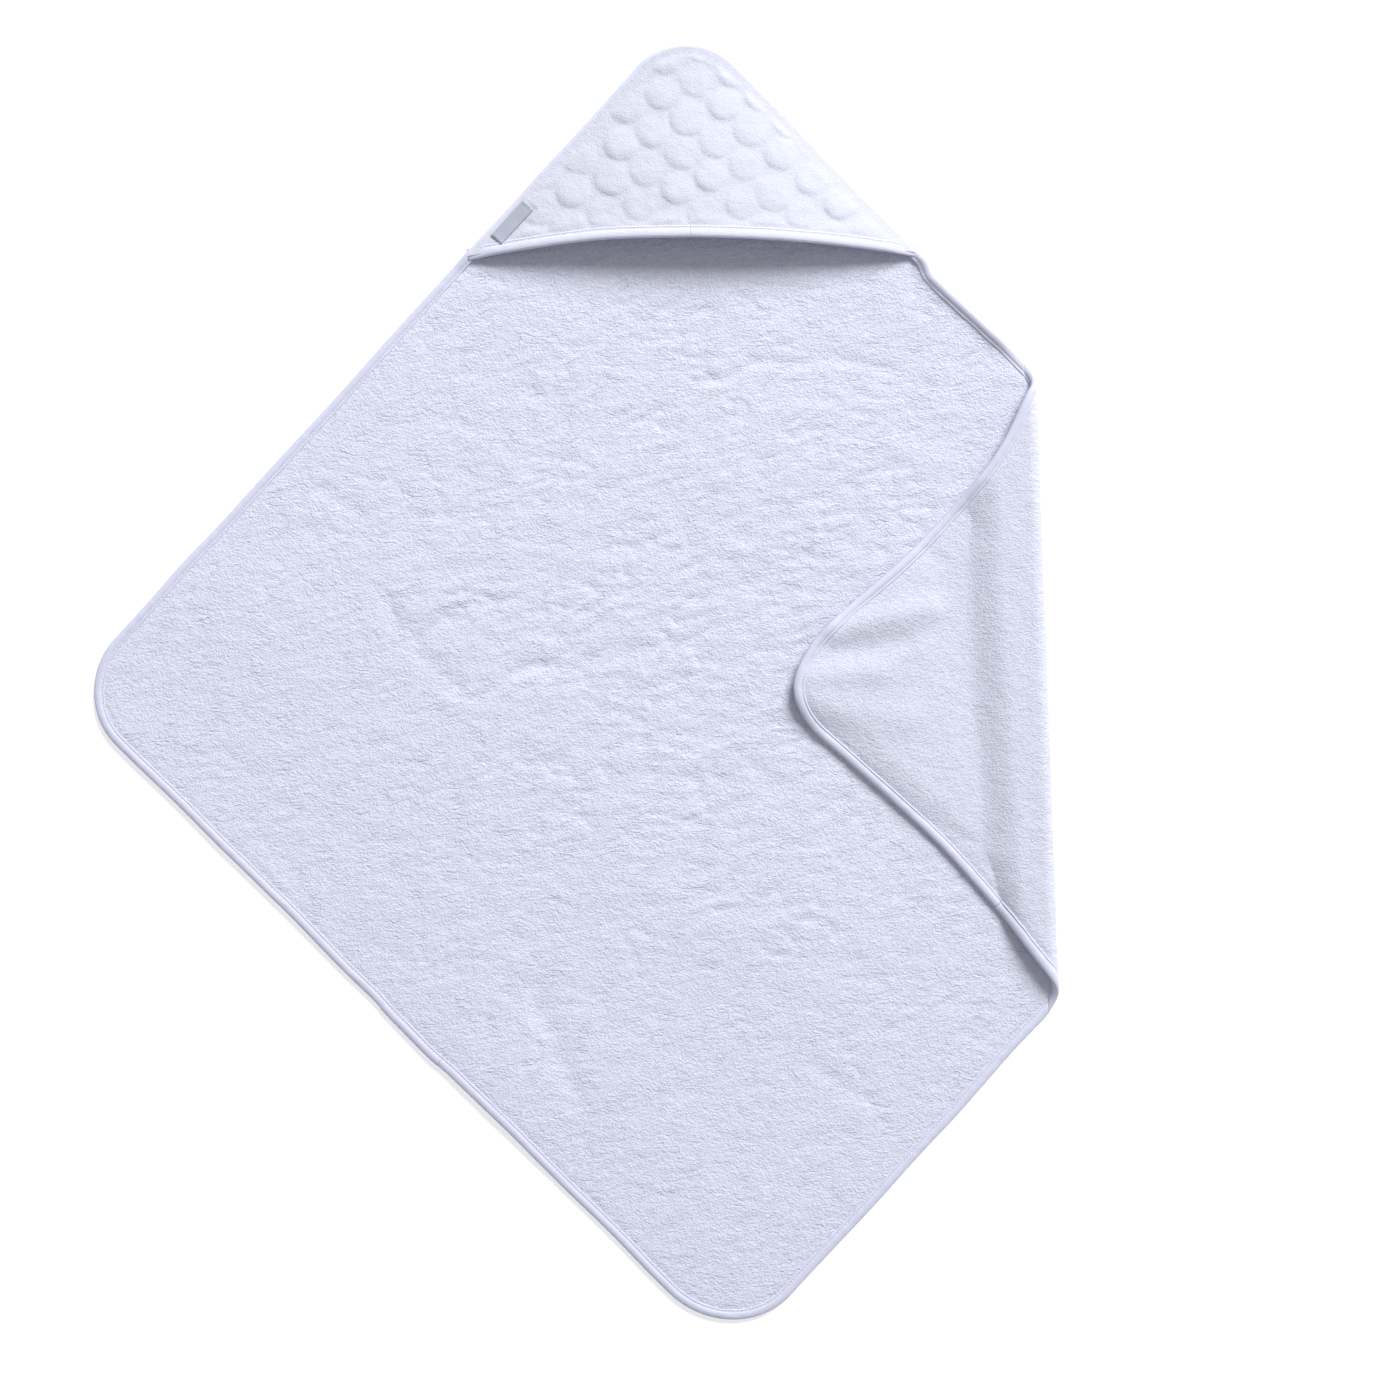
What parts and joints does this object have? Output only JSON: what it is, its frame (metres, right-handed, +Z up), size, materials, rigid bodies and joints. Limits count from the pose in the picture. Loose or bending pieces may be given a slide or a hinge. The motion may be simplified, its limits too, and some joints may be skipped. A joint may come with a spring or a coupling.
{
  "type": "hooded baby towel",
  "caption": "Square terry baby towel laid flat, bound edge, padded bubble-quilted hood over one corner, next corner folded over to show the back.",
  "frame": {"origin": "middle of the folded towel's footprint, on the surface that it lies on", "axes": "+Z up; +Y along the square's diagonal to the hooded corner; +X towards the fold"},
  "size_m": [0.8208, 1.0974, 0.0353],
  "materials": {
    "terry": "looped cotton terry, soft matt pile, cool white",
    "tape": "smooth cotton jersey binding tape, cool white",
    "velour": "short-pile cotton velour quilted in round bubbles, white",
    "wadding": "white polyester wadding",
    "lining": "fine terry lining, cool white",
    "thread": "cotton-polyester sewing thread, pale grey white",
    "label": "woven satin label, silver grey, blank",
    "label_thread": "dark grey sewing thread"
  },
  "bodies": {
    "towel": {"terry_panel": "terry", "fold_bend": "terry", "binding_main": "tape", "binding_join": "tape", "binding_foot": "tape", "edge_stitching": "thread"},
    "corner": {"folded_corner": "terry", "corner_binding_foot": "tape", "corner_binding_top": "tape", "corner_stitching": "thread"},
    "hood": {"hood_lining": "lining", "hood_wadding": "wadding", "hood_cover": "velour", "hood_binding": "tape", "hood_stitching": "thread", "woven_label": "label", "label_stitch_upper": "label_thread", "label_stitch_lower": "label_thread"}
  },
  "joints": [
    {"name": "corner_fold", "type": "hinge", "parent": "towel", "child": "corner", "pos_m": [0.40459, 0, 0.0105], "axis": [0, 1, 0], "range_deg": [0, 180], "deforming": ["fold_bend"]},
    {"name": "hood_open", "type": "hinge", "parent": "towel", "child": "hood", "pos_m": [0.11909, 0.54873, 0.0061], "axis": [-1, 0, 0], "range_deg": [0, 25]}
  ]
}
